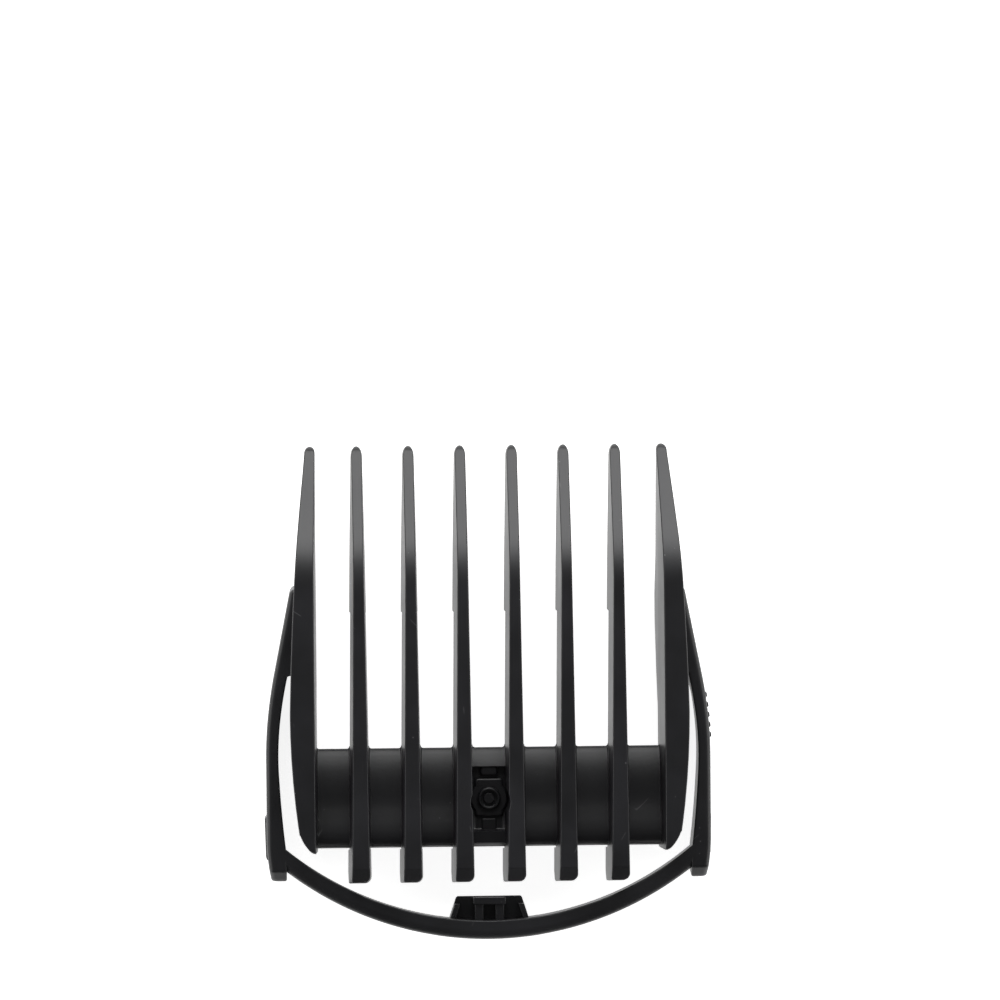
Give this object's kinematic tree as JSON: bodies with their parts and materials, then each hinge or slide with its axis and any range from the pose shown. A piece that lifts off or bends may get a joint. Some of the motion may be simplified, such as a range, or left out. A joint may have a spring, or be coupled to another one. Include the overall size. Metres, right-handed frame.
{
  "type": "hair clipper guide comb",
  "caption": "Clip-on guide comb for a hair clipper: tapered teeth between two end guards on a cross bar, with two side arms, a bowed rear strap and a snap latch.",
  "frame": {"origin": "centre of the comb's outline, on the plane that it rests on", "axes": "+X across the comb, +Y towards the tooth tips, +Z from the rest plane to the skin edges"},
  "size_m": [0.0584, 0.0642, 0.015],
  "materials": {
    "tooth_plastic": "satin moulded, faint draw lines",
    "bar_plastic": "satin moulded",
    "arm_plastic": "satin moulded",
    "strap_plastic": "satin moulded"
  },
  "bodies": {
    "comb": {"inner_tooth_1": "tooth_plastic", "inner_tooth_2": "tooth_plastic", "inner_tooth_3": "tooth_plastic", "inner_tooth_4": "tooth_plastic", "inner_tooth_5": "tooth_plastic", "inner_tooth_6": "tooth_plastic", "left_guard": "tooth_plastic", "right_guard": "tooth_plastic", "cross_bar": "bar_plastic", "gate_pad": "bar_plastic", "gate_ring": "bar_plastic", "gate_pip": "bar_plastic", "left_arm_root": "arm_plastic", "right_arm_root": "arm_plastic"},
    "left_arm": {"left_arm_leaf": "arm_plastic", "left_arm_foot": "arm_plastic", "left_thumb_rib": "arm_plastic"},
    "right_arm": {"right_arm_leaf": "arm_plastic", "right_arm_foot": "arm_plastic", "right_thumb_rib": "arm_plastic", "right_arm_marks": "arm_plastic"},
    "left_strap": {"left_strap_span": "strap_plastic"},
    "right_strap": {"right_strap_span": "strap_plastic"},
    "latch": {"strap_centre": "strap_plastic", "latch_plate": "strap_plastic", "latch_lip": "strap_plastic", "left_latch_rib": "strap_plastic", "right_latch_rib": "strap_plastic", "left_latch_cheek": "strap_plastic", "right_latch_cheek": "strap_plastic"}
  },
  "joints": [
    {"name": "left_arm_flex", "type": "hinge", "parent": "comb", "child": "left_arm", "pos_m": [-0.02693, 0.0022, 0.0045], "axis": [0, 0, 1], "range_deg": [-0.5, 2], "stiffness_Nm_per_rad": 0.02},
    {"name": "right_arm_flex", "type": "hinge", "parent": "comb", "child": "right_arm", "pos_m": [0.02693, 0.0022, 0.0045], "axis": [0, 0, -1], "range_deg": [-0.52, 2.02]},
    {"name": "left_strap_flex", "type": "hinge", "parent": "left_arm", "child": "left_strap", "pos_m": [-0.02718, -0.0208, 0.0065], "axis": [0, 0, -1], "range_deg": [-1.66, 6.49]},
    {"name": "right_strap_flex", "type": "hinge", "parent": "right_arm", "child": "right_strap", "pos_m": [0.02718, -0.0208, 0.0065], "axis": [0, 0, 1], "range_deg": [-1.66, 6.49]},
    {"name": "latch_flex", "type": "hinge", "parent": "left_strap", "child": "latch", "pos_m": [-0.0066, -0.03037, 0.0065], "axis": [0, 0, 1], "range_deg": [-1.16, 4.49]}
  ],
  "couplings": [
    {"joint": "right_arm_flex", "follows": "left_arm_flex", "ratio": 1},
    {"joint": "left_strap_flex", "follows": "left_arm_flex", "ratio": 3.2198},
    {"joint": "right_strap_flex", "follows": "left_arm_flex", "ratio": 3.2198},
    {"joint": "latch_flex", "follows": "left_arm_flex", "ratio": 2.2198}
  ]
}
